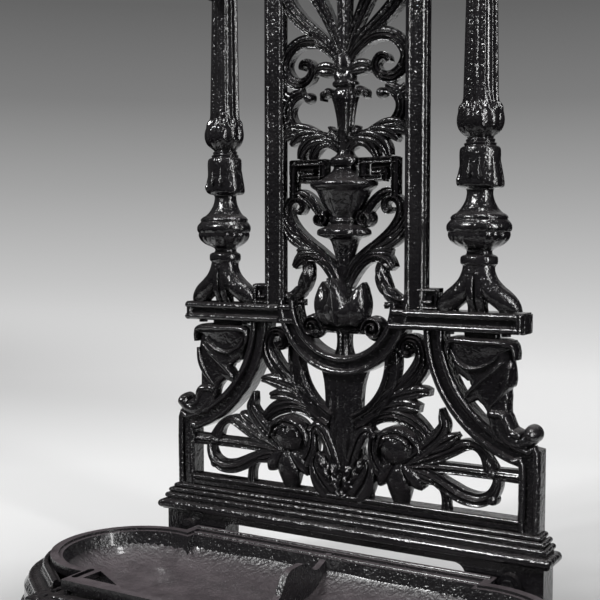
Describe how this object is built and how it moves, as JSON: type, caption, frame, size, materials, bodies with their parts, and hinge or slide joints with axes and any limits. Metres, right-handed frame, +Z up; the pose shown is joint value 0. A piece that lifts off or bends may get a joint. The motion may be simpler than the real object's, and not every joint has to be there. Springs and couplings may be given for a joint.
{
  "type": "umbrella stand",
  "caption": "Cast-iron umbrella stand with pierced scrollwork back, baluster columns, stick rail and a lift-out drip pan in a moulded plinth.",
  "frame": {"origin": "centre of the footprint on the floor", "axes": "+Z up, -Y towards the front, where the pan is, +X to the right as seen from the front"},
  "size_m": [0.702, 0.338, 1.076],
  "materials": {
    "iron": "gloss black enamel over rough cast iron",
    "pan_iron": "worn satin black, dull grey on the pan's floor",
    "fixing_steel": "black painted steel fixings"
  },
  "bodies": {
    "stand": {"base_plinth": "iron", "lower_frame": "iron", "lower_scrollwork": "iron", "left_bracket_leg": "iron", "right_bracket_leg": "iron", "left_column": "iron", "right_column": "iron", "centre_frame": "iron", "urn_ornament": "iron", "palmette_ornament": "iron", "left_top_shelf": "iron", "right_top_shelf": "iron", "left_finial": "iron", "right_finial": "iron", "arch_crest": "iron", "stick_rail": "iron", "left_rail_bracket": "iron", "right_rail_bracket": "iron", "rail_nuts": "fixing_steel", "base_bolts": "fixing_steel", "base_nuts": "fixing_steel", "column_screws": "fixing_steel", "finial_studs": "fixing_steel", "crest_stud": "fixing_steel"},
    "pan": {"drip_pan": "pan_iron"}
  },
  "joints": [
    {"name": "pan_lift", "type": "slide", "parent": "stand", "child": "pan", "axis": [0, 0, 1], "range_m": [0, 0.012]}
  ]
}
